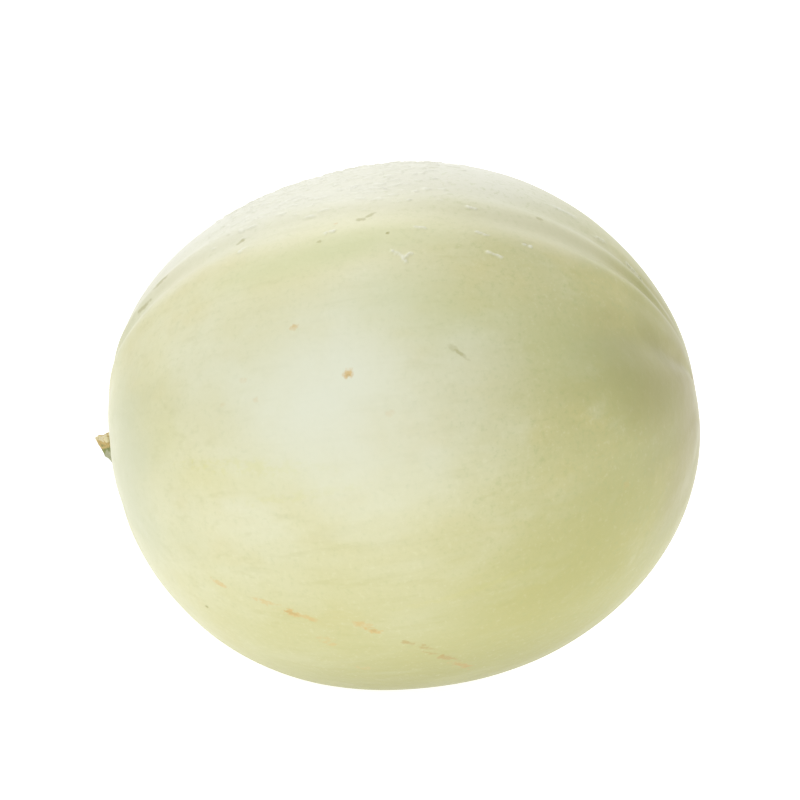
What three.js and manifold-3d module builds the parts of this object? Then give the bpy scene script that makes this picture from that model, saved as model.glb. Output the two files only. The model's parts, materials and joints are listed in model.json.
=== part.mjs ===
// Honeydew melon: one whole fruit lying on its side, with the short dried stub of its stalk still on it.
//
// Millimetres, +Z up. The fruit's long axis lies near X, with the stalk end at -X and the blossom end at +X,
// a little higher. The origin is the middle of the small flat spot that the fruit rests on.

import * as THREE from 'three';
import { mergeVertices } from 'three/addons/utils/BufferGeometryUtils.js';
import Module from 'manifold-3d';

// The fruit's outline, along its own long axis. A fullness of 2 makes an end elliptical; more makes it blunter.
const HALF_LENGTH = 92.3;
const HALF_WIDTH = 82.7;
const STALK_END_FULLNESS = 2.28;
const BLOSSOM_END_FULLNESS = 1.98;
const BLOSSOM_END_WIDENING = 0.023;

// How the grown fruit strays from a shape turned on a lathe.
const SHOULDER_LEAN = 3.5; // the top leans this far towards the stalk end, and the underside away from it
const BELLY_SAG = 3.2; // the stalk half sags and the blossom half rises: 0.38 of this at the most
const PITCH = THREE.MathUtils.degToRad(9.2); // the blossom end lies higher than the stalk end

// Shallow grooves run from pole to pole between the lobes, deepest near the ends.
const LOBES = 9;
const FIRST_GROOVE = THREE.MathUtils.degToRad(25); // around the long axis, from the front up
const GROOVE_DEPTH_MIDDLE = 0.35;
const GROOVE_DEPTH_ENDS = 1.1;
const GROOVE_SHARPNESS = 3;
const GROOVE_FADE_RADIUS = 22; // the grooves run out this close to the poles

// Hollows at the two poles, and the flat spot underneath.
const STALK_HOLLOW = { depth: 2.6, radius: 13 };
const BLOSSOM_HOLLOW = { depth: 1.2, radius: 9 };
const FLAT_SPOT_DEPTH = 1.8; // how much of the rounded underside the flat spot takes off

// How finely the skin is divided, around the long axis and along it.
const SKIN_SECTORS = 72;
const SKIN_RINGS = 40;

// The stalk's stub: it leaves the hollow along the axis, bends up and ends in a dry cut.
const STALK_REACH = 6.6; // out of the hollow, along the long axis
const STALK_RISE = 10.4; // up from the axis to the middle of the cut
const STALK_FORWARD = -1.5; // the cut end stands this far to the front
const STALK_ROOT = 1.5; // how far inside the skin the stub starts, before it is cut to fit
const STALK_COLLAR_RADIUS = 5.6;
const STALK_WAIST_RADIUS = 2.8;
const STALK_CUT_RADIUS = 3.2;
const STALK_RIDGES = 5;
const STALK_RIDGE_HEIGHT = 0.12; // as a share of the radius
const STALK_SIDES = 30;
const STALK_STEPS = 12;
const SEAT_GAP = 0.3; // clearance between the stub and the fruit

const SKIN = new THREE.MeshStandardMaterial({ color: 0xdcdcb4, roughness: 0.45, metalness: 0 });
const DRY_STALK = new THREE.MeshStandardMaterial({ color: 0xb9a567, roughness: 0.85, metalness: 0 });

const { Manifold, Mesh: SolidMesh } = await loadSolids();

/** Loads the library that joins and cuts closed bodies. */
async function loadSolids() {
  const library = await Module();
  library.setup();
  return library;
}

/** A closed geometry with its shared corners merged, as a solid that can be joined or cut. */
function toSolid(geometry) {
  const bare = geometry.clone();
  bare.deleteAttribute('normal');
  bare.deleteAttribute('uv');
  const merged = mergeVertices(bare, 1e-4);
  const vertProperties = new Float32Array(merged.attributes.position.array);
  const triVerts = new Uint32Array(merged.index.array);
  return new Manifold(new SolidMesh({ numProp: 3, vertProperties, triVerts }));
}

/** A solid as a geometry with its own normals. */
function toGeometry(solid) {
  const { vertProperties, triVerts } = solid.getMesh();
  const geometry = new THREE.BufferGeometry();
  geometry.setAttribute('position', new THREE.BufferAttribute(vertProperties, 3));
  geometry.setIndex(new THREE.BufferAttribute(triVerts, 1));
  geometry.computeVertexNormals();
  return geometry;
}

/** How deep a groove cuts at a turn around the axis, for a ring that is `along` the fruit. */
function grooveDepth(along, turn, radius) {
  const nearEnd = along ** 4;
  const depth = THREE.MathUtils.lerp(GROOVE_DEPTH_MIDDLE, GROOVE_DEPTH_ENDS, nearEnd);
  const fade = Math.min(1, radius / GROOVE_FADE_RADIUS) ** 2;
  const wave = (1 + Math.cos(LOBES * (turn - FIRST_GROOVE))) / 2;
  return depth * fade * wave ** GROOVE_SHARPNESS;
}

/** How far a pole's hollow sinks in, at a radius from the axis. */
function hollowDepth({ depth, radius: reach }, radius) {
  return depth * Math.exp(-((radius / reach) ** 2));
}

/**
 * A point of the skin, with the long axis along X. `along` runs from -1 at the stalk pole to 1 at the blossom
 * pole, `turn` goes around the axis from the front (-Y) up to the top (+Z), and `lift` moves it off the skin.
 */
function skinPoint(along, turn, lift = 0) {
  const atStalk = along < 0;
  const fullness = atStalk ? STALK_END_FULLNESS : BLOSSOM_END_FULLNESS;
  const ring = Math.sqrt(Math.max(0, 1 - along ** 2));
  const reach = Math.sign(along) * Math.abs(along) ** (2 / fullness);
  const plainRadius = (HALF_WIDTH + lift) * ring ** (2 / fullness) * (1 + BLOSSOM_END_WIDENING * reach);
  const radius = plainRadius - grooveDepth(along, turn, plainRadius);
  const hollow = hollowDepth(atStalk ? STALK_HOLLOW : BLOSSOM_HOLLOW, plainRadius);
  const axial = (HALF_LENGTH + lift) * reach - Math.sign(along) * hollow;
  const height = radius * Math.sin(turn);
  return new THREE.Vector3(
    axial - SHOULDER_LEAN * (height / HALF_WIDTH),
    -radius * Math.cos(turn),
    height + BELLY_SAG * (reach - reach ** 3),
  );
}

/** The closed skin: a sphere's grid of corners, each moved to its place on the fruit. */
function skinGeometry(lift = 0) {
  const geometry = new THREE.SphereGeometry(1, SKIN_SECTORS, SKIN_RINGS);
  geometry.rotateZ(-Math.PI / 2);
  const corners = geometry.attributes.position;
  const corner = new THREE.Vector3();
  for (let i = 0; i < corners.count; i += 1) {
    corner.fromBufferAttribute(corners, i);
    const along = THREE.MathUtils.clamp(corner.x, -1, 1);
    const turn = Math.atan2(corner.z, -corner.y);
    corners.setXYZ(i, ...skinPoint(along, turn, lift).toArray());
  }
  return geometry;
}

/** Where the pitched skin would first touch a level floor: its height, and its place along the floor. */
function lowestPoint(geometry) {
  const corners = geometry.attributes.position;
  const pitched = new THREE.Vector3();
  const lowest = new THREE.Vector3(0, 0, Infinity);
  const upright = new THREE.Vector3(0, 1, 0);
  for (let i = 0; i < corners.count; i += 1) {
    pitched.fromBufferAttribute(corners, i).applyAxisAngle(upright, -PITCH);
    if (pitched.z < lowest.z) {
      lowest.copy(pitched);
    }
  }
  return lowest;
}

/** The part of the world below the flat spot, turned into the fruit's own frame. */
function groundSolid(height) {
  const size = 3 * HALF_LENGTH;
  const ground = new THREE.BoxGeometry(size, size, size);
  ground.translate(0, 0, height - size / 2);
  ground.rotateY(PITCH);
  return toSolid(ground);
}

/** The whole fruit, flattened where it rests. */
function makeMelon(spotHeight) {
  const solid = toSolid(skinGeometry()).subtract(groundSolid(spotHeight));
  const melon = new THREE.Mesh(toGeometry(solid), SKIN);
  melon.name = 'melon';
  return melon;
}

/** The stub's middle line, from just inside the hollow to the cut end. */
function stalkLine() {
  const seat = skinPoint(-1, 0);
  const root = seat.clone().add(new THREE.Vector3(STALK_ROOT, 0, 0));
  const elbow = seat.clone().add(new THREE.Vector3(-STALK_REACH, 0, 0));
  const cut = seat.clone().add(new THREE.Vector3(-STALK_REACH, STALK_FORWARD, STALK_RISE));
  return new THREE.QuadraticBezierCurve3(root, elbow, cut);
}

/** The stub's radius at a share of its length: a wide collar, a narrow waist and a slightly swollen cut. */
function stalkRadius(share) {
  const collar = (STALK_COLLAR_RADIUS - STALK_WAIST_RADIUS) * Math.exp(-((share / 0.22) ** 2));
  const swelling = (STALK_CUT_RADIUS - STALK_WAIST_RADIUS) * share ** 3;
  return STALK_WAIST_RADIUS + collar + swelling;
}

/** A cylinder's grid of corners, each moved to its place around the stub's bent middle line. */
function stalkGeometry() {
  const line = stalkLine();
  const frames = line.computeFrenetFrames(STALK_STEPS);
  const geometry = new THREE.CylinderGeometry(1, 1, 1, STALK_SIDES, STALK_STEPS);
  const corners = geometry.attributes.position;
  const corner = new THREE.Vector3();
  for (let i = 0; i < corners.count; i += 1) {
    corner.fromBufferAttribute(corners, i);
    const step = Math.round((corner.y + 0.5) * STALK_STEPS);
    const share = step / STALK_STEPS;
    const around = Math.atan2(corner.x, corner.z);
    const ridge = 1 + STALK_RIDGE_HEIGHT * Math.cos(STALK_RIDGES * around);
    const radius = Math.hypot(corner.x, corner.z) * stalkRadius(share) * ridge;
    const place = line.getPointAt(share);
    place.addScaledVector(frames.normals[step], radius * Math.cos(around));
    place.addScaledVector(frames.binormals[step], radius * Math.sin(around));
    corners.setXYZ(i, ...place.toArray());
  }
  return geometry;
}

/** The stub, its foot cut to the shape of the hollow it stands in. */
function makeStalk() {
  const solid = toSolid(stalkGeometry()).subtract(toSolid(skinGeometry(SEAT_GAP)));
  const stem = new THREE.Mesh(toGeometry(solid), DRY_STALK);
  stem.name = 'stem';
  return stem;
}

const touch = lowestPoint(skinGeometry());
const spotHeight = touch.z + FLAT_SPOT_DEPTH;

const honeydew = new THREE.Group();
honeydew.name = 'honeydew';
honeydew.rotation.y = -PITCH;
honeydew.position.set(-touch.x, 0, -spotHeight);
honeydew.add(makeMelon(spotHeight), makeStalk());

export default honeydew;
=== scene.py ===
# %% [markdown]
# # A whole honeydew melon
#
# A honeydew is a smooth-skinned melon: a pale green oval fruit with shallow lobes from pole to
# pole, a dry stub of stalk in a hollow at one end and a small corky scar at the other. The packed
# model already holds its size, its lobes and its place, so this lesson is about what makes the
# skin look grown: its relief, its mottled colour, its marks and its soft wax shine.

import json
import math

import bpy
import bmesh
from mathutils import Matrix, Vector, noise

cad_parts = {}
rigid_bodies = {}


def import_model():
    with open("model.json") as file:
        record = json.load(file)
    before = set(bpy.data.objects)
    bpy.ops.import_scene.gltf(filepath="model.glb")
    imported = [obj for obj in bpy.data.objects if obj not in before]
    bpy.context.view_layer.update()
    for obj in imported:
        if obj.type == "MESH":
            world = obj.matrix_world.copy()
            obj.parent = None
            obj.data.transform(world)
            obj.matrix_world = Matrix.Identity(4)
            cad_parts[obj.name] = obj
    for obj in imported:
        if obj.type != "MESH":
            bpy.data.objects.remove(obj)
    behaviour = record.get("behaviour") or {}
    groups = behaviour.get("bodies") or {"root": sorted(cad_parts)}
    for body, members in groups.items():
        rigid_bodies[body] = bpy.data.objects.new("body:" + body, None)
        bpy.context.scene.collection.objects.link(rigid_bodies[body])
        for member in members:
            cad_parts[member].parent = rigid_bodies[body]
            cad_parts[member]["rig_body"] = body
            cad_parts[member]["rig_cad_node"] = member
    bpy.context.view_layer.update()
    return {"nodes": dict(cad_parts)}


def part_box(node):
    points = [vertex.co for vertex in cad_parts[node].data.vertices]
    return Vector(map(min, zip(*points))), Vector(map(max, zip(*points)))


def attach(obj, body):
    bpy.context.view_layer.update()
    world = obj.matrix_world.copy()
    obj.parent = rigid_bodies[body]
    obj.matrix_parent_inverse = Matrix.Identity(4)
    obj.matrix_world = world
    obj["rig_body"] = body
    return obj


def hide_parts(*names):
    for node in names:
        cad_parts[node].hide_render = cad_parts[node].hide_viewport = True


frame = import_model()
MM = 0.001
melon_low, melon_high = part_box("melon")
stem_low, stem_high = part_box("stem")
melon_size = melon_high - melon_low


def in_mm(vector):
    """A vector's three numbers in millimetres, for printing."""
    return [round(side / MM, 1) for side in vector]


print("melon, mm:", in_mm(melon_size))
print("stem, mm:", in_mm(stem_high - stem_low))

# %% [markdown]
# ## The fruit's own directions
#
# The fruit lies on its side with its blossom end a little higher, so nothing on it lines up with
# the world's axes. Every place on the skin is easier to say in the fruit's own terms: how far
# along the long axis, and how far round it. These few helpers turn one into the other.

# %% The fruit's long axis, and places on its skin
PITCH = math.radians(9.2)
FRUIT_CENTRE = (melon_low + melon_high) / 2
ALONG = Vector((math.cos(PITCH), 0, math.sin(PITCH)))
FRONT = Vector((0, -1, 0))
UPWARD = Vector((-math.sin(PITCH), 0, math.cos(PITCH)))


def round_the_axis(turn):
    """The direction away from the long axis at a turn in degrees, from the front up."""
    return FRONT * math.cos(math.radians(turn)) + UPWARD * math.sin(math.radians(turn))


def along_and_turn(point):
    """A point's place along the long axis in metres, and its turn round it in degrees."""
    arm = point - FRUIT_CENTRE
    return arm.dot(ALONG), math.degrees(math.atan2(arm.dot(UPWARD), arm.dot(FRONT)))


def on_skin(skin, along_mm, turn):
    """Where a line from the long axis meets the skin, and the way the skin faces there."""
    start = FRUIT_CENTRE + ALONG * along_mm * MM
    hit, place, facing, _ = skin.ray_cast(start, round_the_axis(turn))
    if not hit:
        raise ValueError(f"no skin at {along_mm} mm, {turn} degrees")
    return place, facing


def smooth_step(low, high, value):
    """0 up to low, 1 from high, and a smooth slope between."""
    share = min(1.0, max(0.0, (value - low) / (high - low)))
    return share * share * (3 - 2 * share)


print("fruit centre, mm:", in_mm(FRUIT_CENTRE))

# %% [markdown]
# ## Camera
#
# The fruit is seen from the front and a little above, through a long lens, so that it is hardly
# distorted. The camera stands slightly towards the blossom end, which is why the stalk just peeps
# out behind the other end.

# %% Camera
CAMERA_AZIMUTH = math.radians(7)
CAMERA_ELEVATION = math.radians(10)
CAMERA_DISTANCE = 0.65
CAMERA_LENS = 92.2
AIM_RIGHT = -0.0014
AIM_UP = 0.0072

towards_camera = Vector((
    math.sin(CAMERA_AZIMUTH) * math.cos(CAMERA_ELEVATION),
    -math.cos(CAMERA_AZIMUTH) * math.cos(CAMERA_ELEVATION),
    math.sin(CAMERA_ELEVATION),
))
camera_right = Vector((math.cos(CAMERA_AZIMUTH), math.sin(CAMERA_AZIMUTH), 0))
camera_up = towards_camera.cross(camera_right)
aim = FRUIT_CENTRE + camera_right * AIM_RIGHT + camera_up * AIM_UP

bpy.ops.object.camera_add(location=aim + towards_camera * CAMERA_DISTANCE)
camera = bpy.context.object
camera.name = "camera"
camera.rotation_mode = "QUATERNION"
camera.rotation_quaternion = (-towards_camera).to_track_quat("-Z", "Y")
camera.data.lens = CAMERA_LENS
bpy.context.scene.camera = camera
print("camera, mm:", in_mm(camera.location))

# %% [markdown]
# ## Small helpers for modelling
#
# An operator acts on whatever is selected, so each step starts by selecting one object and
# nothing else, and faces are picked by where they are. A modifier is only a recipe until it is
# applied; applying it leaves a plain mesh that the next step can build on.

# %% Helpers: select, apply, pick faces by place
def select_only(thing):
    """Deselects everything, then selects and activates one object."""
    bpy.ops.object.select_all(action="DESELECT")
    thing.select_set(True)
    bpy.context.view_layer.objects.active = thing


def apply_modifier(thing, kind, **settings):
    """Adds a modifier with these settings and applies it at once."""
    select_only(thing)
    modifier = thing.modifiers.new(kind.lower(), kind)
    for name, value in settings.items():
        setattr(modifier, name, value)
    bpy.ops.object.modifier_apply(modifier=modifier.name)


def subdivision(thing, levels):
    """Rounds a mesh with Catmull-Clark subdivision."""
    apply_modifier(thing, "SUBSURF", levels=levels, render_levels=levels)


CORNERS = (True, False, False)
FACES = (False, False, True)


def start_picking(thing, kind):
    """Opens one object in edit mode with nothing selected, ready to pick its corners or its faces."""
    select_only(thing)
    bpy.ops.object.mode_set(mode="EDIT")
    bpy.context.tool_settings.mesh_select_mode = kind
    bpy.ops.mesh.select_all(action="DESELECT")
    return bmesh.from_edit_mesh(thing.data)


def divide_faces_where(thing, wanted, cuts):
    """Splits the faces whose centre `wanted` accepts, so that fine relief has corners to move."""
    mesh = start_picking(thing, FACES)
    chosen = 0
    for face in mesh.faces:
        if wanted(face.calc_center_median()):
            face.select_set(True)
            chosen += 1
    bmesh.update_edit_mesh(thing.data)
    if chosen:
        bpy.ops.mesh.subdivide(number_cuts=cuts, smoothness=0)
    bpy.ops.object.mode_set(mode="OBJECT")
    return chosen


def number_on_corners(thing, name, numbers):
    """Keeps one number for each corner of the mesh under a name, for a material to read."""
    attribute = thing.data.attributes.new(name, "FLOAT", "POINT")
    attribute.data.foreach_set("value", numbers)


def weigh(thing, name, weight_at):
    """A vertex group holding weight_at(corner), and the same numbers for the material to read."""
    weights = [weight_at(corner.co.copy()) for corner in thing.data.vertices]
    group = thing.vertex_groups.new(name=name)
    for index, weight in enumerate(weights):
        if weight > 0:
            group.add([index], weight, "REPLACE")
    number_on_corners(thing, name + "_here", weights)
    return sum(weight > 0 for weight in weights)


def lift(thing, group, height):
    """Moves weighted corners out along the way the surface faces, or in if the height is negative."""
    apply_modifier(thing, "DISPLACE", vertex_group=group, strength=height, mid_level=0)


# %% [markdown]
# ## The body of the fruit
#
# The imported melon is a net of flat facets, right in size but not in smoothness. A merged and
# rounded copy of it serves as a guide. The skin itself starts as a sphere with its poles at the
# ends of the fruit, so that its edges run the way the fruit grew. Shrinkwrap lays it on the
# guide, and subdivision rounds it. The fan of triangles at each pole would pinch, so it is cut
# out and filled with a grid.

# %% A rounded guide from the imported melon
def rounded_copy(node_name, levels):
    """A merged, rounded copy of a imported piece, to wrap a finer mesh on."""
    select_only(frame["nodes"][node_name])
    bpy.ops.object.duplicate()
    guide = bpy.context.object
    guide.name = node_name + "_guide"
    guide.parent = None
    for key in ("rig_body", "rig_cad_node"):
        del guide[key]
    bpy.ops.object.mode_set(mode="EDIT")
    bpy.ops.mesh.select_all(action="SELECT")
    bpy.ops.mesh.remove_doubles(threshold=0.00001)
    bpy.ops.mesh.tris_convert_to_quads()
    bpy.ops.object.mode_set(mode="OBJECT")
    subdivision(guide, levels)
    return guide


guide = rounded_copy("melon", 2)

# %% A sphere, turned to lie along the fruit
SECTORS = 72
RINGS = 40

bpy.ops.object.select_all(action="DESELECT")
bpy.ops.mesh.primitive_uv_sphere_add(
    segments=SECTORS,
    ring_count=RINGS,
    radius=0.5,
    location=FRUIT_CENTRE,
    rotation=(0, math.pi / 2 - PITCH, 0),
    scale=(melon_size.z, melon_size.y, melon_size.x),
)
rind = bpy.context.object
rind.name = "rind"
bpy.ops.object.transform_apply(location=True, rotation=True, scale=True)

# %% Grids instead of fans at the poles
POLE_SPAN = SECTORS // 4


def grid_at_pole(thing, pole):
    """Cuts out the fan of triangles nearest to `pole` and fills the round hole with a grid of quads."""
    mesh = start_picking(thing, CORNERS)
    nearest = min(mesh.verts, key=lambda corner: (corner.co - pole).length)
    nearest.select_set(True)
    bmesh.update_edit_mesh(thing.data)
    bpy.ops.mesh.delete(type="VERT")
    bpy.ops.mesh.select_non_manifold()
    bpy.ops.mesh.fill_grid(span=POLE_SPAN)
    bpy.ops.object.mode_set(mode="OBJECT")


ROUNDING_LOSS = 0.3 * MM
half_length = melon_size.x / 2
grid_at_pole(rind, FRUIT_CENTRE - ALONG * half_length)
grid_at_pole(rind, FRUIT_CENTRE + ALONG * half_length)
apply_modifier(
    rind,
    "SHRINKWRAP",
    target=guide,
    wrap_method="NEAREST_SURFACEPOINT",
    wrap_mode="ABOVE_SURFACE",
    offset=ROUNDING_LOSS,
)
subdivision(rind, 2)
bpy.data.objects.remove(guide)
print("rind faces:", len(rind.data.polygons))

# %% [markdown]
# ## Relief on the skin
#
# A honeydew is smooth, but not everywhere: where the skin stretched it healed in short pale corky
# dashes, dense on the sunny shoulder, and in a few longer raised scars. They catch the light, so
# they are real shape and not only bump. The skin there is first divided finely. A weight then
# says how much each corner belongs to a dash or a scar, a Displace modifier lifts it, and the
# material reads the same weight to make it pale.

# %% Where the netting grows
NETTING_ALONG = (-56, 40)
NETTING_TURN = (56, 124)
NETTING_FADE_MM = 26
NETTING_FADE_TURN = 16
NETTING_CUTS = 3
NETTING_LEAST = 0.12


def netting_share(along_mm, turn):
    """1 inside the netted patch, fading to 0 around it."""
    low_along, high_along = NETTING_ALONG
    low_turn, high_turn = NETTING_TURN
    return (
        smooth_step(low_along, low_along + NETTING_FADE_MM, along_mm)
        * (1 - smooth_step(high_along - NETTING_FADE_MM, high_along, along_mm))
        * smooth_step(low_turn, low_turn + NETTING_FADE_TURN, turn)
        * (1 - smooth_step(high_turn - NETTING_FADE_TURN, high_turn, turn))
    )


def in_netting(point):
    """True where the netted patch has any netting."""
    along, turn = along_and_turn(point)
    return netting_share(along / MM, turn) > NETTING_LEAST


# %% Where the healed scars are: (along in mm, turn) of each end, and half the width in mm
SCARS = [
    ((12.8, 46.6), (16.2, 44.6), 0.55),
    ((16.2, 44.6), (18.2, 45.6), 0.45),
    ((15.4, 45.1), (16.6, 43.2), 0.45),
    ((-6.8, 54.0), (-4.4, 54.4), 0.5),
    ((-33.6, 56.2), (-31.8, 57.4), 0.55),
    ((19.4, 52.9), (22.2, 52.5), 0.5),
    ((36.0, 52.1), (39.5, 51.4), 0.3),
    ((39.0, 46.6), (43.0, 45.7), 0.45),
    ((48.8, 50.7), (51.1, 50.3), 0.3),
    ((34.0, 61.2), (36.0, 60.8), 0.5),
    ((58.0, 76.0), (63.0, 77.0), 1.0),
    ((77.0, 72.5), (80.5, 71.5), 0.9),
    ((69.0, 73.0), (71.0, 74.0), 0.8),
    ((-20.0, 128.0), (-12.0, 126.5), 0.6),
    ((30.0, 142.0), (38.0, 143.5), 0.5),
    ((-48.0, -152.0), (-42.0, -150.0), 0.6),
    ((52.0, 168.0), (57.0, 166.5), 0.5),
]
SCAR_REACH = 2.2 * MM
SCAR_CUTS = 4
SCAR_NARROWING = 0.95

scar_lines = []
for first, last, half_width in SCARS:
    first_place, _ = on_skin(rind, *first)
    last_place, _ = on_skin(rind, *last)
    scar_lines.append((first_place, last_place, half_width * MM))


def distance_to_line(point, first, last):
    """How far a point is from a straight scar."""
    line = last - first
    share = min(1.0, max(0.0, (point - first).dot(line) / line.length_squared))
    return (point - first - line * share).length


def near_scar(point):
    """True close to any scar."""
    return any(distance_to_line(point, first, last) < SCAR_REACH for first, last, _ in scar_lines)


netted_faces = divide_faces_where(rind, in_netting, NETTING_CUTS)
scarred_faces = divide_faces_where(rind, lambda point: near_scar(point) and not in_netting(point), SCAR_CUTS)
print("faces divided for netting and scars:", netted_faces, scarred_faces)

# %% Weights: short dashes for the netting, a rounded ridge for each scar
DASH_LENGTHWISE = 210
DASH_ACROSS = 500
DASH_SIZE = (0.22, 0.48)
DASH_WAVER_SCALE = 420
DASH_WAVER = 0.45
DASH_LOTTERY = 3.7
DASH_CROWDING = 1.05
DASH_LOWEST = 0.35
DASH_EVENING = 0.2


def netting_weight(point):
    """Elongated dashes, one in most cells of a stretched cell pattern."""
    along, turn = along_and_turn(point)
    share = netting_share(along / MM, turn)
    if share <= NETTING_LEAST:
        return 0.0
    arm = point - FRUIT_CENTRE
    stretched = Vector((along * DASH_LENGTHWISE, arm.y * DASH_ACROSS, arm.dot(UPWARD) * DASH_ACROSS))
    wavering = noise.noise_vector(point * DASH_WAVER_SCALE) * DASH_WAVER
    distances, cells = noise.voronoi(stretched + wavering)
    chance = 0.5 + noise.noise(cells[0] * DASH_LOTTERY)
    if chance > DASH_CROWDING * share:
        return 0.0
    height = DASH_LOWEST + (1 - DASH_LOWEST) * chance / (DASH_EVENING + chance)
    return height * (1 - smooth_step(*DASH_SIZE, distances[0]))


RIDGE_ROUGHNESS = 800
RIDGE_SWAY = 0.45 * MM
RIDGE_BREAKS = 1400
RIDGE_WHOLE = 0.75
RIDGE_BROKEN = 0.9
LEAST_RIDGE = 0.02


def scar_weight(point):
    """A rounded ridge along each scar, uneven like healed skin."""
    best = 0.0
    for first, last, half_width in scar_lines:
        sway = noise.noise_vector(point * RIDGE_ROUGHNESS) * RIDGE_SWAY
        distance = distance_to_line(point + sway, first, last)
        if distance < SCAR_REACH:
            ridge = math.exp(-((distance / (half_width * SCAR_NARROWING)) ** 2))
            broken = RIDGE_WHOLE + RIDGE_BROKEN * noise.noise(point * RIDGE_BREAKS)
            best = max(best, min(1.0, ridge * max(0.0, broken)))
    return best if best > LEAST_RIDGE else 0.0


netted_corners = weigh(rind, "netting", netting_weight)
scarred_corners = weigh(rind, "scars", scar_weight)
print("corners raised:", netted_corners, scarred_corners)

# %% Lift the netting and the scars
NETTING_HEIGHT = 0.42 * MM
SCAR_HEIGHT = 0.5 * MM

lift(rind, "netting", NETTING_HEIGHT)
lift(rind, "scars", SCAR_HEIGHT)
print("netting and scars, mm high:", NETTING_HEIGHT / MM, SCAR_HEIGHT / MM)

# %% [markdown]
# ## Folds, a notch and swells
#
# Two soft folds run along the fruit's upper shoulder, and one groove ends in a deeper notch near
# the blossom end. Sculpting could make them, but a formula is easier to move: each fold is a bell
# curve over the turn round the fruit, faded out towards the poles, and Displace lifts it. A cloud
# texture adds swells too low to see one by one; without them the highlight would be as even as on
# a ball. Last, the underside is pressed flat where the fruit rests.

# %% The shoulder's folds, as (turn, width in degrees, share of the full height)
CRESTS = [(53.0, 4.5, 1.0), (64.5, 3.0, 0.85)]
FURROWS = [(59.0, 3.0, 0.9), (70.5, 3.5, 0.75)]
FOLD_HEIGHT = 0.85 * MM
FOLD_IN_MIDDLE = 0.5
FOLD_GROWS = (15, 65)
FOLD_ENDS = (78, 91)
FOLD_WANDER = 1.5
FOLD_WANDER_RATE = 45
LEAST_WEIGHT = 0.01


def lengthwise_share(along_mm):
    """Less in the middle of the fruit, most between the middle and the ends, none at the poles."""
    reach = abs(along_mm)
    growing = FOLD_IN_MIDDLE + (1 - FOLD_IN_MIDDLE) * smooth_step(*FOLD_GROWS, reach)
    return growing * (1 - smooth_step(*FOLD_ENDS, reach))


def fold_weight(point, folds):
    """How much a corner belongs to the strongest of several folds."""
    along, turn = along_and_turn(point)
    turn += FOLD_WANDER * math.sin(along * FOLD_WANDER_RATE)
    height = max(share * math.exp(-(((turn - middle) / width) ** 2)) for middle, width, share in folds)
    weight = height * lengthwise_share(along / MM)
    return weight if weight > LEAST_WEIGHT else 0.0


crest_corners = weigh(rind, "crests", lambda point: fold_weight(point, CRESTS))
furrow_corners = weigh(rind, "furrows", lambda point: fold_weight(point, FURROWS))
lift(rind, "crests", FOLD_HEIGHT)
lift(rind, "furrows", -FOLD_HEIGHT)
print("corners in crests and furrows:", crest_corners, furrow_corners)

# %% A deeper notch where a groove runs into the blossom end
NOTCH_TURN = 30
NOTCH_WIDTH = 9
NOTCH_DEPTH = 1.7 * MM
NOTCH_BEGINS = (52, 82)
NOTCH_ENDS = (88, 94)


def notch_weight(point):
    """How much a corner belongs to the notch."""
    along, turn = along_and_turn(point)
    near = smooth_step(*NOTCH_BEGINS, along / MM) * (1 - smooth_step(*NOTCH_ENDS, along / MM))
    weight = near * math.exp(-(((turn - NOTCH_TURN) / NOTCH_WIDTH) ** 2))
    return weight if weight > LEAST_WEIGHT else 0.0


print("corners in the notch:", weigh(rind, "notch", notch_weight))
lift(rind, "notch", -NOTCH_DEPTH)

# %% Very low swells, as on any grown fruit
SWELL_SIZE = 0.03
SWELL_HEIGHT = 0.35 * MM

swells = bpy.data.textures.new("swells", "CLOUDS")
swells.noise_scale = SWELL_SIZE
swells.noise_depth = 1
apply_modifier(
    rind,
    "DISPLACE",
    texture=swells,
    texture_coords="LOCAL",
    strength=SWELL_HEIGHT,
    mid_level=0.5,
)
print("swells, mm:", SWELL_HEIGHT / MM)


# %% A flat spot to rest on
def flatten_below_floor(thing, floor_height):
    """Presses every corner below the floor up to it, so that the fruit rests on a small flat spot."""
    mesh = start_picking(thing, CORNERS)
    for corner in mesh.verts:
        corner.select_set(corner.co.z < floor_height)
    bmesh.update_edit_mesh(thing.data)
    bpy.ops.transform.resize(value=(1, 1, 0), center_override=(0, 0, floor_height))
    bpy.ops.object.mode_set(mode="OBJECT")


flatten_below_floor(rind, melon_low.z)
select_only(rind)
bpy.ops.object.shade_smooth()
print("rind triangles:", sum(len(face.vertices) - 2 for face in rind.data.polygons))

# %% [markdown]
# ## The colour of the skin
#
# The skin isn't one green. It is a waxy cream over green flesh: paler where wax is thick, greener
# in the grooves and towards the blossom end, yellower underneath, where the fruit lay on the
# ground. Painted shade also darkens both ends, the notch and the underside, and a painted highlight
# and painted sheen lighten the brow, the top and the upper shoulders. Lengthwise streaks follow the
# veins below, and everywhere there is a fine speckle. Each of these is one mask that mixes one
# colour into the last, so each can be judged on its own. All masks read Object coordinates, turned
# by a Mapping node so that X runs along the fruit.

# %% Helpers: nodes
MIX_FACTOR = 0
MIX_UNDER = 6
MIX_OVER = 7
MIX_RESULT = 2


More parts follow.
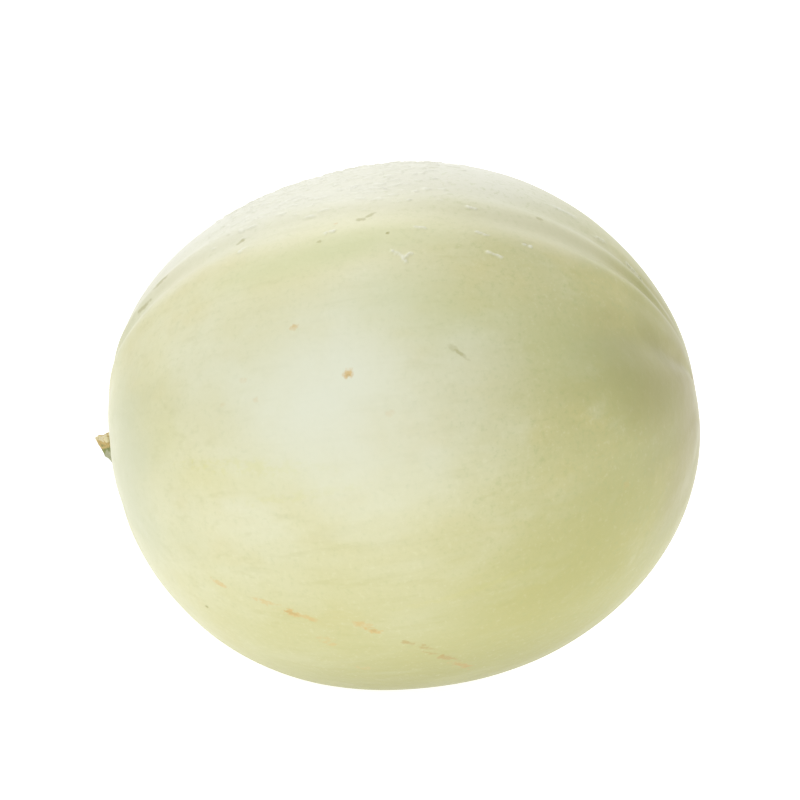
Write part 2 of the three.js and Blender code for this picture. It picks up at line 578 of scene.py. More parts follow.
class Nodes:
    """The node tree of a material or a world, with short ways to add and link nodes."""

    def __init__(self, owner):
        owner.use_nodes = True
        self.owner = owner
        self.tree = owner.node_tree

    def add(self, kind, inputs=None, **settings):
        """Adds a node; an input given as a socket is linked, and any other is a value."""
        node = self.tree.nodes.new(kind)
        for name, value in settings.items():
            setattr(node, name, value)
        for name, value in (inputs or {}).items():
            self.put(node.inputs[name], value)
        return node

    def put(self, socket, value):
        """Links or sets one socket."""
        if isinstance(value, bpy.types.NodeSocket):
            self.tree.links.new(value, socket)
        else:
            socket.default_value = value

    def math(self, operation, first, second=0.0, third=0.0):
        """One Math node."""
        node = self.add("ShaderNodeMath", {0: first, 1: second, 2: third}, operation=operation)
        return node.outputs[0]

    def ramp(self, value, low, high, out_low=0.0, out_high=1.0):
        """A smooth change from out_low to out_high as value goes from low to high."""
        inputs = {"Value": value, "From Min": low, "From Max": high, "To Min": out_low, "To Max": out_high}
        return self.add("ShaderNodeMapRange", inputs, interpolation_type="SMOOTHSTEP").outputs[0]

    def noise(self, vector, scale, detail=2.0, roughness=0.5, distortion=0.0):
        """A noise pattern from 0 to 1."""
        inputs = {
            "Vector": vector,
            "Scale": scale,
            "Detail": detail,
            "Roughness": roughness,
            "Distortion": distortion,
        }
        return self.add("ShaderNodeTexNoise", inputs).outputs["Fac"]

    def stretch(self, vector, factors):
        """Coordinates scaled by a factor on each axis."""
        node = self.add("ShaderNodeMapping", {"Vector": vector, "Scale": factors})
        return node.outputs[0]

    def mix(self, factor, under, over):
        """One colour mixed over another by a factor from 0 to 1."""
        # The Mix node has inputs of the same name for each kind of value, so the colour ones go by number.
        inputs = {MIX_FACTOR: factor, MIX_UNDER: under, MIX_OVER: over}
        return self.add("ShaderNodeMix", inputs, data_type="RGBA").outputs[MIX_RESULT]

    def layered(self, under, layers):
        """Colours laid one over another; each layer is a mask and the colour it lets through."""
        for mask, over in layers:
            under = self.mix(mask, under, over)
        return under

    def shade(self, settings):
        """Links or sets the sockets of the material's shader."""
        shader = self.tree.nodes["Principled BSDF"]
        for name, value in settings.items():
            self.put(shader.inputs[name], value)


def colour(red, green, blue):
    """A linear colour with full alpha."""
    return (red, green, blue, 1.0)


# %% Skin: the coordinates that all its patterns share
skin = Nodes(bpy.data.materials.new("honeydew_rind"))
object_place = skin.add("ShaderNodeTexCoord").outputs["Object"]
fruit_place = skin.add(
    "ShaderNodeMapping",
    {"Vector": object_place, "Location": FRUIT_CENTRE, "Rotation": (0, -PITCH, 0)},
    vector_type="TEXTURE",
).outputs[0]
fruit_axes = skin.add("ShaderNodeSeparateXYZ", {"Vector": fruit_place}).outputs
along_fruit = fruit_axes["X"]
height_on_fruit = fruit_axes["Z"]
towards_front = skin.math("MULTIPLY", fruit_axes["Y"], -1.0)
turn_on_fruit = skin.math("ARCTAN2", height_on_fruit, towards_front)

# %% Skin: broad colour, from the waxy cream to the green of the blossom end and the yellow underside, both partly painted shade
CREAM_GREEN = colour(0.66, 0.64, 0.37)
PALE_WAX = colour(0.72, 0.73, 0.56)
# A green darkened with painted shade; it also tints the fine streaks.
END_GREEN_AND_SHADE = colour(0.44, 0.43, 0.145)
TAN_CLOUD = colour(0.62, 0.56, 0.25)
# The ground spot's yellow, darkened with painted shade, and a darker painted shade for the lowest part of
# the underside.
GROUND_YELLOW_AND_SHADE = colour(0.42, 0.405, 0.105)
UNDERSIDE_SHADE = colour(0.26, 0.25, 0.03)
CLOUD_SCALE = 16.0
TAN_SCALE = 42.0
STREAK_SCALE = 95.0
FINE_STREAK_SCALE = 320.0

cloudy = skin.noise(fruit_place, CLOUD_SCALE, 3.0, 0.55)
tan_clouds = skin.noise(skin.stretch(fruit_place, (0.6, 1.0, 1.0)), TAN_SCALE, 3.0, 0.6)
streaky = skin.noise(skin.stretch(fruit_place, (0.22, 1.0, 1.0)), STREAK_SCALE, 3.0, 0.6, 0.3)
fine_streaks = skin.noise(skin.stretch(fruit_place, (0.12, 1.0, 1.0)), FINE_STREAK_SCALE, 2.0, 0.6)

broad = skin.layered(CREAM_GREEN, [
    (skin.ramp(cloudy, 0.35, 0.72, 0.0, 0.55), PALE_WAX),
    # Greener towards the blossom end: partly the skin's own green, partly painted shade on the end turned
    # away from the light.
    (skin.ramp(along_fruit, -0.005, 0.085, 0.0, 0.85), END_GREEN_AND_SHADE),
    (skin.ramp(tan_clouds, 0.5, 0.72, 0.0, 0.4), TAN_CLOUD),
    # Yellower underneath where the fruit lay, darkened as painted shade, and darkest at the very bottom as
    # painted shade under the fruit.
    (skin.ramp(height_on_fruit, 0.0, -0.085, 0.0, 0.75), GROUND_YELLOW_AND_SHADE),
    (skin.ramp(height_on_fruit, -0.05, -0.086, 0.0, 0.8), UNDERSIDE_SHADE),
    (skin.ramp(streaky, 0.48, 0.8, 0.0, 0.22), PALE_WAX),
    (skin.ramp(fine_streaks, 0.5, 0.8, 0.0, 0.22), END_GREEN_AND_SHADE),
])

# %% Skin: a whiter crown, where the netting grows and the wax is thick, with painted sheen where the top light falls
# Paler wax on top, lightened further as a painted sheen.
CROWN_WAX_AND_SHEEN = colour(0.72, 0.72, 0.62)
CROWN_TURN = math.radians(92)
CROWN_FADE = (math.radians(43), math.radians(16))
CROWN_DRIFT = 0.45
CROWN_MIDDLE = -0.012
CROWN_LENGTH = (0.098, 0.048)

round_from_crown = skin.math("ABSOLUTE", skin.math("SUBTRACT", turn_on_fruit, CROWN_TURN))
drifting = skin.math("MULTIPLY_ADD", skin.math("SUBTRACT", cloudy, 0.5), CROWN_DRIFT, round_from_crown)
crown = skin.ramp(drifting, *CROWN_FADE, 0.0, 0.85)
from_middle = skin.math("ABSOLUTE", skin.math("SUBTRACT", along_fruit, CROWN_MIDDLE))
crown_here = skin.math("MULTIPLY", crown, skin.ramp(from_middle, *CROWN_LENGTH))
crowned = skin.mix(crown_here, broad, CROWN_WAX_AND_SHEEN)

# %% Skin: greener grooves, strongest near the ends
LOBES = 9
FIRST_GROOVE = math.radians(25)
GROOVE_GREEN = colour(0.42, 0.44, 0.20)

from_groove = skin.math("SUBTRACT", turn_on_fruit, FIRST_GROOVE)
groove_wave = skin.math("COSINE", skin.math("MULTIPLY", from_groove, float(LOBES)))
near_end = skin.ramp(skin.math("ABSOLUTE", along_fruit), 0.045, 0.09, 0.04, 0.3)
groove_mask = skin.math("MULTIPLY", skin.ramp(groove_wave, 0.35, 1.0), near_end)
broken_groove = skin.math("MULTIPLY", groove_mask, skin.ramp(streaky, 0.3, 0.6, 0.35, 1.0))
with_grooves = skin.mix(broken_groove, crowned, GROOVE_GREEN)

# %% Skin: fine speckle of pores
PORE_DARK = colour(0.42, 0.46, 0.20)
PORE_PALE = colour(0.82, 0.82, 0.62)
PORE_SCALE = 620.0

speckle = skin.noise(fruit_place, PORE_SCALE, 2.0, 0.7)
pore_strength = skin.ramp(along_fruit, 0.0, 0.07, 0.2, 0.55)
speckled = skin.layered(with_grooves, [
    (skin.math("MULTIPLY", skin.ramp(speckle, 0.50, 0.78), pore_strength), PORE_DARK),
    (skin.ramp(speckle, 0.44, 0.26, 0.0, 0.12), PORE_PALE),
])
print("skin nodes so far:", len(skin.tree.nodes))

# %% [markdown]
# ## Marks on the skin
#
# Every melon carries marks of how it grew: russet flecks where it was rubbed, a green scratch,
# brown dots. Each is a small soft-edged ellipse lying on the skin, given by where it is in the
# fruit's own terms, how long and wide it is and which way it runs. Noise frays its edge, and a
# flecked mark is broken up by a second noise.

# %% Marks: one ellipse on the skin
FRAY_SCALE = 700.0
FRAY_REACH = 1.5
DRIFT_SCALE = 38.0
DRIFT_REACH = 0.9
FLECK_SCALE = 520.0
MARK_DEPTH = 20.0
MARK_EDGE = (1.15, 0.45)
PATCH_EDGE = (1.2, 0.0)

fray = skin.add("ShaderNodeTexNoise", {"Vector": fruit_place, "Scale": FRAY_SCALE, "Detail": 2.0})
drift = skin.add("ShaderNodeTexNoise", {"Vector": fruit_place, "Scale": DRIFT_SCALE, "Detail": 3.0})
flecks = skin.noise(skin.stretch(fruit_place, (0.6, 1.0, 1.0)), FLECK_SCALE, 2.0, 0.6)


def around_zero(noise_node):
    """A noise node's three channels, moved from 0..1 to lie around zero."""
    inputs = {0: noise_node.outputs["Color"], 1: (0.5, 0.5, 0.5)}
    return skin.add("ShaderNodeVectorMath", inputs, operation="SUBTRACT").outputs[0]


fray_offset = around_zero(fray)
drift_offset = around_zero(drift)


def distance_from(along_mm, turn, sizes_mm, angle, offset, reach):
    """Distance from a place on the skin in ellipse units; `offset` times `reach` frays the outline."""
    place, facing = on_skin(rind, along_mm, turn)
    lengthwise = (ALONG - facing * ALONG.dot(facing)).normalized()
    upward = lengthwise.cross(facing) * -1
    heading = lengthwise * math.cos(math.radians(angle)) + upward * math.sin(math.radians(angle))
    sideways = facing.cross(heading)
    turned = Matrix((heading, sideways, facing)).transposed().to_euler()
    inputs = {
        "Vector": object_place,
        "Location": place,
        "Rotation": turned,
        "Scale": [size * MM for size in sizes_mm],
    }
    local = skin.add("ShaderNodeMapping", inputs, vector_type="TEXTURE").outputs[0]
    inputs = {0: offset, 1: (reach,) * 3, 2: local}
    frayed = skin.add("ShaderNodeVectorMath", inputs, operation="MULTIPLY_ADD").outputs[0]
    return skin.add("ShaderNodeVectorMath", {0: frayed}, operation="LENGTH").outputs["Value"]


def mark_mask(along_mm, turn, half_length, half_width, angle, strength, flecked=False):
    """A small mark with a frayed edge: sizes in mm, and angle in degrees up from lengthwise."""
    sizes = (half_length, half_width, MARK_DEPTH)
    distance = distance_from(along_mm, turn, sizes, angle, fray_offset, FRAY_REACH)
    mask = skin.ramp(distance, *MARK_EDGE, 0.0, strength)
    if flecked:
        mask = skin.math("MULTIPLY", mask, skin.ramp(flecks, 0.40, 0.56))
    return mask


def patch_mask(along_mm, turn, half_length, half_width, angle, strength):
    """A wide patch with a soft, drifting edge."""
    sizes = (half_length, half_width, max(half_length, half_width))
    distance = distance_from(along_mm, turn, sizes, angle, drift_offset, DRIFT_REACH)
    return skin.ramp(distance, *PATCH_EDGE, 0.0, strength)


def strongest(masks):
    """The strongest of several masks at each point."""
    total = masks[0]
    for mask in masks[1:]:
        total = skin.math("MAXIMUM", total, mask)
    return total


# %% Marks: (along, turn, half length, half width, angle, strength, flecked), in mm and degrees
RUSSET = colour(0.62, 0.42, 0.14)
RUSSET_MARKS = [
    (-2.0, 20.6, 1.8, 1.6, 40, 0.85),
    (-16.5, 32.0, 1.6, 1.1, 10, 0.6),
    (-32.9, 23.0, 1.3, 1.0, 0, 0.2),
    (-29.8, 18.3, 1.1, 0.9, 0, 0.18),
    (-40.2, 18.7, 1.0, 0.8, 0, 0.15),
    (8.4, 11.7, 1.6, 1.2, 0, 0.15),
    (68.9, -18.6, 1.6, 1.3, 0, 0.2),
    (-52.0, -24.0, 3.6, 1.1, -16, 0.6),
    (-38.0, -27.5, 6.0, 1.3, -18, 0.45, True),
    (-31.5, -29.5, 5.5, 1.9, -21, 0.85, True),
    (-26.5, -31.0, 3.0, 1.2, -25, 0.6),
    (-11.5, -33.2, 3.0, 1.7, -20, 0.6),
    (-8.6, -35.0, 3.6, 2.0, -35, 0.9, True),
    (-8.0, -35.4, 1.6, 1.1, -35, 0.7),
    (-23.9, -37.9, 3.0, 1.9, -10, 0.35, True),
    (-22.0, -39.5, 1.8, 1.2, 20, 0.45),
    (12.5, -54.5, 6.0, 2.2, -60, 0.6, True),
    (-15.5, -49.7, 3.4, 1.8, -20, 0.35, True),
    (-4.0, 57.0, 0.9, 0.7, 0, 0.35),
    (30.0, -120.0, 9.0, 2.0, 15, 0.5, True),
    (-25.0, 160.0, 2.0, 1.4, 20, 0.5),
    (40.0, 130.0, 1.4, 1.2, 0, 0.45),
]
BROWN = colour(0.44, 0.30, 0.08)
BROWN_MARKS = [
    (-0.5, -40.0, 1.5, 1.0, -30, 0.6),
    (3.4, -42.0, 5.0, 1.3, -40, 0.6, True),
    (8.5, -48.0, 7.0, 1.6, -50, 0.85, True),
    (13.0, -55.0, 6.0, 1.8, -60, 0.75, True),
    (-8.6, -35.3, 1.3, 0.7, -35, 0.35),
    (-2.0, 20.2, 0.7, 0.6, 30, 0.35),
    (-31.5, -29.7, 4.0, 0.8, -21, 0.35, True),
]
OLIVE = colour(0.31, 0.29, 0.07)
OLIVE_MARKS = [
    (29.3, 22.2, 3.6, 0.7, -42, 0.45),
    (28.0, 23.2, 2.2, 1.0, -35, 0.25),
    (3.4, 57.2, 1.9, 1.3, -15, 0.55),
    (6.2, 58.4, 2.0, 0.8, 38, 0.5),
    (-34.4, 61.1, 1.8, 0.9, 20, 0.5),
    (-8.6, 52.0, 0.9, 0.7, 0, 0.45),
    (-63.0, 64.5, 3.4, 1.0, 12, 0.55),
    (-69.5, 61.5, 4.0, 1.1, 12, 0.5),
    (11.7, 51.5, 0.7, 0.6, 0, 0.8),
    (53.9, 63.7, 1.4, 0.9, 0, 0.4),
    (-59.5, -34.7, 0.8, 0.7, 0, 0.75),
    (-10.0, 140.0, 1.2, 0.8, 0, 0.5),
]

russet_mask = strongest([mark_mask(*mark) for mark in RUSSET_MARKS])
brown_mask = strongest([mark_mask(*mark) for mark in BROWN_MARKS])
olive_mask = strongest([mark_mask(*mark) for mark in OLIVE_MARKS])
print("marks:", len(RUSSET_MARKS), "russet,", len(BROWN_MARKS), "brown,", len(OLIVE_MARKS), "olive")

# %% Marks: wide soft tracts, from a band of yellow veins to the wax-white brow with its painted highlight, with painted shade and sheen at the ends
VEIN_YELLOW = colour(0.62, 0.60, 0.20)
BROW_WAX_AND_HIGHLIGHT = colour(0.73, 0.755, 0.62)
NOTCH_SHADE = colour(0.33, 0.33, 0.12)
SHOULDER_SHEEN = colour(0.66, 0.64, 0.46)
BLOSSOM_END_SHADE = colour(0.38, 0.34, 0.14)
STEM_END_SHADE = colour(0.54, 0.56, 0.37)
SHOULDER_GREEN = colour(0.54, 0.585, 0.30)

veins = strongest([
    mark_mask(-33.0, 4.5, 26.0, 3.0, -6, 0.5, True),
    mark_mask(-20.0, -2.0, 22.0, 1.8, 3, 0.3, True),
    patch_mask(-38.0, 2.0, 34.0, 7.0, -5, 0.22),
    patch_mask(-62.0, 14.0, 12.0, 9.0, 0, 0.2),
    mark_mask(23.0, -28.5, 26.0, 1.2, 5, 0.12),
])
green_shoulder = strongest([
    patch_mask(24.0, 33.0, 34.0, 14.0, -8, 0.3),
    patch_mask(-8.0, 49.0, 40.0, 8.0, 4, 0.5),
    patch_mask(58.0, 22.0, 24.0, 14.0, -8, 0.25),
])
# Painted shade in and round the notch near the blossom end, where the hollow turns from the light.
shade_round_the_notch = strongest([
    patch_mask(86.0, 22.0, 22.0, 6.0, 0, 0.75),
    patch_mask(78.0, 16.0, 36.0, 17.0, 0, 0.6),
])
# Painted sheen: paler bands on the upper shoulders at both ends, where the top light catches the folds.
sheen_on_shoulders = strongest([
    patch_mask(56.0, 60.0, 34.0, 13.0, 0, 0.6),
    patch_mask(-62.0, 62.0, 30.0, 12.0, 0, 0.5),
])
tinted = skin.layered(speckled, [
    (veins, VEIN_YELLOW),
    # The brow: a paler wax bloom, lightened further as a painted highlight of the light above the camera.
    (patch_mask(-8.0, 15.0, 54.0, 38.0, -8, 0.85), BROW_WAX_AND_HIGHLIGHT),
    (green_shoulder, SHOULDER_GREEN),
    (shade_round_the_notch, NOTCH_SHADE),
    (sheen_on_shoulders, SHOULDER_SHEEN),
    # A yellow ground-spot tint on the lower side, darkened with painted shade away from the light.
    (patch_mask(50.0, -34.0, 46.0, 32.0, -10, 0.4), GROUND_YELLOW_AND_SHADE),
    # Painted shade: the blossom end darkened towards brown-olive.
    (patch_mask(90.0, -14.0, 35.0, 50.0, 0, 1.0), BLOSSOM_END_SHADE),
    # Painted shade: the stem end darkened towards grey-green.
    (patch_mask(-80.0, 8.0, 34.0, 48.0, 0, 0.8), STEM_END_SHADE),
])
soft_russet = skin.math("MULTIPLY", russet_mask, skin.ramp(speckle, 0.3, 0.6, 0.55, 1.0))
marked = skin.layered(tinted, [(soft_russet, RUSSET), (brown_mask, BROWN), (olive_mask, OLIVE)])

# %% [markdown]
# ## Cork and shine
#
# Healed skin is cork: paler than the rind and dull. The relief's weights were kept as numbers on
# the corners, so the material can whiten and roughen just what was lifted. The rest of the rind
# is waxed. A rough base under a thin coat gives its broad soft highlight, and two bumps, one for
# the peel and one for its grain, break the shine up where real shape would be too fine to model.

# %% Skin: pale cork on the netting and scars, and round the blossom scar
CORK_PALE = colour(0.84, 0.84, 0.74)
CORK_BROWN = colour(0.40, 0.33, 0.17)
BLOSSOM_SCAR_RADIUS = 6 * MM
BLOSSOM_SCAR_CORE = 0.45
BLOSSOM_SCAR_FRAY = 0.004
NETTING_PALENESS = 0.5
SCAR_PALENESS = 0.75

netting_here = skin.add("ShaderNodeAttribute", attribute_name="netting_here").outputs["Fac"]
scars_here = skin.add("ShaderNodeAttribute", attribute_name="scars_here").outputs["Fac"]
pale_netting = skin.math("MULTIPLY", netting_here, NETTING_PALENESS)
pale_scars = skin.math("MULTIPLY", scars_here, SCAR_PALENESS)
raised = skin.math("MAXIMUM", pale_netting, pale_scars)

sideways_squared = skin.math("MULTIPLY", fruit_axes["Y"], fruit_axes["Y"])
height_squared = skin.math("MULTIPLY", height_on_fruit, height_on_fruit)
from_axis = skin.math("SQRT", skin.math("ADD", sideways_squared, height_squared))
frayed = skin.math("SUBTRACT", fray.outputs["Fac"], 0.5)
rough_radius = skin.math("MULTIPLY_ADD", frayed, BLOSSOM_SCAR_FRAY, from_axis)
core_radius = BLOSSOM_SCAR_RADIUS * BLOSSOM_SCAR_CORE
scar_disc = skin.ramp(rough_radius, BLOSSOM_SCAR_RADIUS, core_radius, 0.0, 0.85)
blossom_scar = skin.math("MULTIPLY", scar_disc, skin.ramp(along_fruit, 0.05, 0.07))
finished = skin.layered(marked, [(raised, CORK_PALE), (blossom_scar, CORK_BROWN)])

# %% Skin: shine and fine bump
PEEL_SCALE = 260.0
GRAIN_SCALE = 1500.0
CORK_DULLNESS = 0.2

peel = skin.noise(fruit_place, PEEL_SCALE, 2.0, 0.5)
fine_grain = skin.noise(fruit_place, GRAIN_SCALE, 3.0, 0.6)
roughness_noise = skin.ramp(streaky, 0.3, 0.7, 0.38, 0.48)
roughness = skin.math("ADD", roughness_noise, skin.math("MULTIPLY", raised, CORK_DULLNESS))
inputs = {"Strength": 0.35, "Distance": 0.0006, "Height": peel}
peel_bump = skin.add("ShaderNodeBump", inputs).outputs[0]
inputs = {"Strength": 0.3, "Distance": 0.00012, "Height": fine_grain, "Normal": peel_bump}
grain_bump = skin.add("ShaderNodeBump", inputs).outputs[0]
skin.shade({
    "Base Color": finished,
    "Roughness": roughness,
    "Normal": grain_bump,
    "IOR": 1.5,
    "Coat Weight": 0.25,
    "Coat Roughness": 0.3,
})
rind.data.materials.clear()
rind.data.materials.append(skin.owner)
print("skin nodes:", len(skin.tree.nodes))

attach(rind, "root")
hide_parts("melon")

# %% [markdown]
# ## The stalk's stub
#
# The stalk is a ridged green stem that dried after the fruit was cut from the vine. It leaves a
# hollow at the end of the fruit, bends up and ends in a pale dry cut. It is modelled as it grew:
# a small ridged ring, pulled out step by step with extrude, each new ring turned a little further
# round the bend and made smaller or larger. Narrower and narrower rings then sink the pith, and a
# fan of triangles closes it.

# %% Stub: its bent middle line
STUB_REACH = 6.6 * MM
STUB_RISE = 9.2 * MM
STUB_FORWARD = 1.5 * MM
STUB_ROOT = 1.5 * MM
COLLAR_RADIUS = 5.6 * MM
WAIST_RADIUS = 2.35 * MM
CUT_RADIUS = 3.1 * MM
COLLAR_LENGTH = 0.22
SWELLING_POWER = 6
STUB_STEPS = 16

outside = FRUIT_CENTRE - ALONG * melon_size.x
_, seat, _, _ = rind.ray_cast(outside, ALONG)
stub_root = seat + ALONG * STUB_ROOT
stub_elbow = seat - ALONG * STUB_REACH
stub_cut = stub_elbow + FRONT * STUB_FORWARD + UPWARD * STUB_RISE


def stub_point(share):
    """A point of the stub's middle line, from the root at 0 to the cut at 1."""
    first = stub_root.lerp(stub_elbow, share)
    second = stub_elbow.lerp(stub_cut, share)
    return first.lerp(second, share)


def stub_heading(share):
    """The way the stub grows at a share of its length."""
    first = stub_root.lerp(stub_elbow, share)
    second = stub_elbow.lerp(stub_cut, share)
    return (second - first).normalized()


def stub_radius(share):
    """A wide collar at the foot, a waist, and a swelling at the cut."""
    collar = (COLLAR_RADIUS - WAIST_RADIUS) * math.exp(-((share / COLLAR_LENGTH) ** 2))
    swelling = (CUT_RADIUS - WAIST_RADIUS) * share**SWELLING_POWER
    return WAIST_RADIUS + collar + swelling


print("stub root and cut, mm:", in_mm(stub_root), in_mm(stub_cut))

# %% Stub: a ridged ring
STUB_RIDGES = 5
RING_SIDES = 40
RIDGE_OUT = 1.13
BESIDE_OUT = 1.05
VALLEY_IN = 0.9
VALLEYS = (3, 4, 5)

bpy.ops.object.select_all(action="DESELECT")
bpy.ops.mesh.primitive_circle_add(
    vertices=RING_SIDES,
    radius=COLLAR_RADIUS,
    location=stub_root,
    rotation=stub_heading(0).to_track_quat("Z", "Y").to_euler(),
)
stub = bpy.context.object
stub.name = "stub"
bpy.ops.object.transform_apply(location=True, rotation=True, scale=True)


def ring_corners_scaled(thing, every, offset, factor, centre):
    """Moves every n-th corner of the only ring out or in from its centre."""
    mesh = start_picking(thing, CORNERS)
    mesh.verts.ensure_lookup_table()
    for index in range(len(mesh.verts)):
        if index % every == offset:
            mesh.verts[index].select_set(True)
    bmesh.update_edit_mesh(thing.data)
    bpy.ops.transform.resize(value=(factor,) * 3, center_override=centre)
    bpy.ops.object.mode_set(mode="OBJECT")


corners_per_ridge = RING_SIDES // STUB_RIDGES
ring_corners_scaled(stub, corners_per_ridge, 0, RIDGE_OUT, stub_root)
for beside in (1, corners_per_ridge - 1):
    ring_corners_scaled(stub, corners_per_ridge, beside, BESIDE_OUT, stub_root)
for between in VALLEYS:
    ring_corners_scaled(stub, corners_per_ridge, between, VALLEY_IN, stub_root)
print("ring corners:", len(stub.data.vertices))

# %% Stub: pulled out ring by ring
# With no window open the rotate operator turns the other way, so its angle is given as negative.
select_only(stub)
bpy.ops.object.mode_set(mode="EDIT")
bpy.ops.mesh.select_all(action="SELECT")
for step in range(1, STUB_STEPS + 1):
    before = (step - 1) / STUB_STEPS
    after = step / STUB_STEPS
    shift = stub_point(after) - stub_point(before)
    bpy.ops.mesh.extrude_region_move(TRANSFORM_OT_translate={"value": shift})
    bpy.ops.transform.rotate(
        value=-stub_heading(before).angle(stub_heading(after)),
        orient_axis="Y",
        center_override=stub_point(after),
    )
    growth = stub_radius(after) / stub_radius(before)
    bpy.ops.transform.resize(value=(growth,) * 3, center_override=stub_point(after))

# %% Stub: the dry cut and its sunken pith, as (narrowing, rise in mm)
CUT_STEPS = ((0.93, 0.25), (0.80, 0.10), (0.72, -0.15), (0.60, -0.35), (0.40, -0.15))

for narrowing, rise in CUT_STEPS:
    bpy.ops.mesh.extrude_region_move(TRANSFORM_OT_translate={"value": stub_heading(1) * rise * MM})
    bpy.ops.transform.resize(value=(narrowing,) * 3, center_override=stub_point(1))
bpy.ops.mesh.edge_face_add()
bpy.ops.mesh.poke()
bpy.ops.object.mode_set(mode="OBJECT")


def face_outwards(thing):
    """Turns every face of a closed piece to the outside."""
    select_only(thing)
    bpy.ops.object.mode_set(mode="EDIT")
    bpy.ops.mesh.select_all(action="SELECT")
    bpy.ops.mesh.normals_make_consistent(inside=False)
    bpy.ops.object.mode_set(mode="OBJECT")


face_outwards(stub)
subdivision(stub, 2)
print("stub faces:", len(stub.data.polygons))

# %% Stub: where each corner is along and round it, for the fibres
LENGTH_SAMPLES = 60


def stub_places(thing):
    """Two numbers on each corner: the share of the stub's length, and the turn round its middle line."""
    samples = [index / LENGTH_SAMPLES for index in range(LENGTH_SAMPLES + 1)]
    shares = []
    turns = []
    for corner in thing.data.vertices:
        share = min(samples, key=lambda sample: (corner.co - stub_point(sample)).length)
        arm = corner.co - stub_point(share)
        upward = stub_heading(share).cross(FRONT)
        shares.append(share)
        turns.append(math.atan2(arm.dot(upward), arm.dot(FRONT)))
    number_on_corners(thing, "stub_along", shares)
    number_on_corners(thing, "stub_around", turns)


stub_places(stub)

# %% Stub: shrivelled fibres
FIBRE_HEIGHT = 0.75 * MM
FIBRE_STRETCH = (250, 1100, 350)
LUMP_SCALE = 480
FIBRE_MIDDLE = 0.4
FIBRE_SHARE = 0.6
LUMP_SHARE = 0.9


def fibre_weight(corner):
    """Lengthwise shrivelled fibres round the stub, and a frayed cut."""
    arm = corner - seat
    wrinkle = noise.noise(Vector(side * stretch for side, stretch in zip(arm, FIBRE_STRETCH)))
    lump = noise.noise(arm * LUMP_SCALE)
    return min(1.0, max(0.0, FIBRE_MIDDLE + FIBRE_SHARE * wrinkle + LUMP_SHARE * lump))


print("corners raised by fibres:", weigh(stub, "fibres", fibre_weight))
lift(stub, "fibres", FIBRE_HEIGHT)
face_outwards(stub)
bpy.ops.object.shade_smooth()

# %% [markdown]
# ## The stub's colours
#
# A stalk dries from its cut inwards: the cut is pale, then comes a band of straw, and grey-green
# is left near the fruit, behind a dark green crease. One number along the stub drives them all,
# pushed to and fro by noise so that no border is a straight line. Dark fibres run lengthwise,
# from a noise stretched along the stub.

# %% Stub: dry tan with green left near the fruit
STRAW = colour(0.56, 0.42, 0.17)
PALE_CUT = colour(0.74, 0.66, 0.42)
STALK_GREEN = colour(0.22, 0.26, 0.07)
GREY_GREEN = colour(0.42, 0.43, 0.28)
DARK_FIBRE = colour(0.20, 0.14, 0.05)
FIBRES_ROUND = 6.0
FIBRES_LENGTHWISE = 3.0
FIBRE_SCALE = 1.6
PATCH_SCALE = 420.0
CREASE_AT = 0.77

stalk = Nodes(bpy.data.materials.new("dry_stalk"))
stalk_place = stalk.add("ShaderNodeTexCoord").outputs["Object"]
stub_along = stalk.add("ShaderNodeAttribute", attribute_name="stub_along").outputs["Fac"]
stub_around = stalk.add("ShaderNodeAttribute", attribute_name="stub_around").outputs["Fac"]
inputs = {
    "X": stalk.math("MULTIPLY", stalk.math("COSINE", stub_around), FIBRES_ROUND),
    "Y": stalk.math("MULTIPLY", stalk.math("SINE", stub_around), FIBRES_ROUND),
    "Z": stalk.math("MULTIPLY", stub_along, FIBRES_LENGTHWISE),
}
fibre_place = stalk.add("ShaderNodeCombineXYZ", inputs).outputs[0]
fibres = stalk.noise(fibre_place, FIBRE_SCALE, 4.0, 0.65)
patches = stalk.noise(stalk_place, PATCH_SCALE, 3.0, 0.6)
to_and_fro = stalk.math("MULTIPLY", stalk.math("SUBTRACT", patches, 0.5), 0.5)
grown = stalk.math("ADD", stub_along, to_and_fro)
from_crease = stalk.math("ABSOLUTE", stalk.math("SUBTRACT", grown, CREASE_AT))
stalk_colour = stalk.layered(GREY_GREEN, [
    (stalk.ramp(grown, 0.74, 0.86), STRAW),
    (stalk.ramp(from_crease, 0.09, 0.02, 0.0, 0.8), STALK_GREEN),
    (stalk.ramp(grown, 0.94, 1.0), PALE_CUT),
    (stalk.ramp(fibres, 0.55, 0.72, 0.0, 0.5), DARK_FIBRE),
])
inputs = {"Strength": 0.8, "Distance": 0.0004, "Height": fibres}
stalk.shade({
    "Base Color": stalk_colour,
    "Roughness": stalk.ramp(fibres, 0.3, 0.7, 0.7, 0.9),
    "Normal": stalk.add("ShaderNodeBump", inputs).outputs[0],
})
stub.data.materials.append(stalk.owner)
print("stalk nodes:", len(stalk.tree.nodes))

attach(stub, "root")
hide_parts("stem")

# %% [markdown]
# ## Light and floor
#
# The fruit stands on a softly glowing pale table in a white room, as small produce is often lit:
# that gives the white edge all round it. A large soft light above the camera makes the broad
# shine on its brow, and one overhead brightens its top. The room is a world shader: it lights the
# fruit from behind more than from the front, which keeps the form readable, but whoever looks
# straight at it sees plain white.

# %% Floor
FLOOR_SIZE = 6.0
FLOOR_GREY = 0.4
FLOOR_GLOW = 0.93

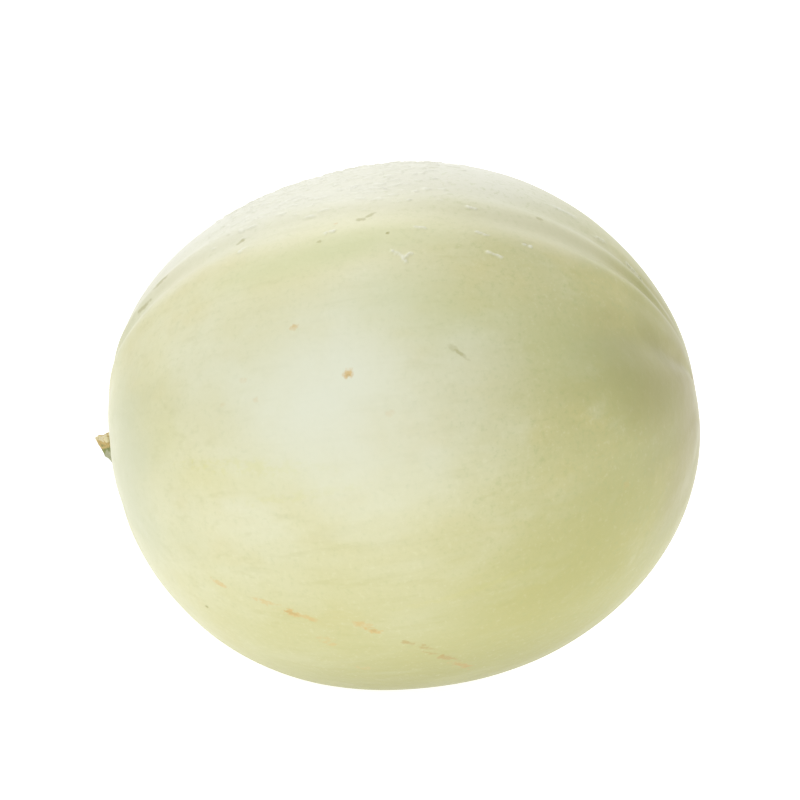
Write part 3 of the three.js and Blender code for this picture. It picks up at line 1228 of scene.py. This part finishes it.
bpy.ops.object.select_all(action="DESELECT")
bpy.ops.mesh.primitive_plane_add(size=FLOOR_SIZE, location=(0, 0, melon_low.z))
floor = bpy.context.object
floor.name = "floor"
table = Nodes(bpy.data.materials.new("pale_table"))
table.shade({
    "Base Color": colour(FLOOR_GREY, FLOOR_GREY, FLOOR_GREY),
    "Roughness": 0.9,
    "Emission Color": colour(1, 1, 1),
    "Emission Strength": FLOOR_GLOW,
})
floor.data.materials.append(table.owner)
print("floor at, mm:", in_mm(floor.location))

# %% Lights
def softbox(name, direction, distance, size, power):
    """A large square light that shines at the fruit from a direction."""
    away = Vector(direction).normalized()
    bpy.ops.object.light_add(type="AREA", location=FRUIT_CENTRE + away * distance)
    light = bpy.context.object
    light.name = name
    light.rotation_mode = "QUATERNION"
    light.rotation_quaternion = (-away).to_track_quat("-Z", "Y")
    light.data.shape = "SQUARE"
    light.data.size = size
    light.data.energy = power
    print(name, "at, mm:", in_mm(light.location))


softbox("brow_light", (-0.26, -0.84, 0.46), 0.95, 0.90, 2.45)
softbox("top_light", (-0.30, 0.20, 0.93), 0.80, 0.70, 1.7)

# %% A white room that lights the back more than the front
ROOM_FRONT = 0.42
ROOM_BACK = 1.15
ROOM_SEEN = 1.2
BRIGHT_WAY = (-0.05, 0.80, 0.60)
BRIGHT_FROM = 0.75

scene = bpy.context.scene
scene.world = scene.world or bpy.data.worlds.new("room")
room = Nodes(scene.world)
direction = room.add("ShaderNodeTexCoord").outputs["Generated"]
inputs = {0: direction, 1: BRIGHT_WAY}
towards_back = room.add("ShaderNodeVectorMath", inputs, operation="DOT_PRODUCT").outputs["Value"]
brightness = room.ramp(towards_back, 0.0, BRIGHT_FROM, ROOM_FRONT, ROOM_BACK)
is_seen = room.add("ShaderNodeLightPath").outputs["Is Camera Ray"]
seen_brightness = room.math("MULTIPLY", is_seen, ROOM_SEEN)
background = room.tree.nodes["Background"]
room.put(background.inputs["Color"], colour(1, 1, 1))
room.put(background.inputs["Strength"], room.math("MAXIMUM", seen_brightness, brightness))
scene.view_settings.view_transform = "Standard"
print("room nodes:", len(room.tree.nodes))
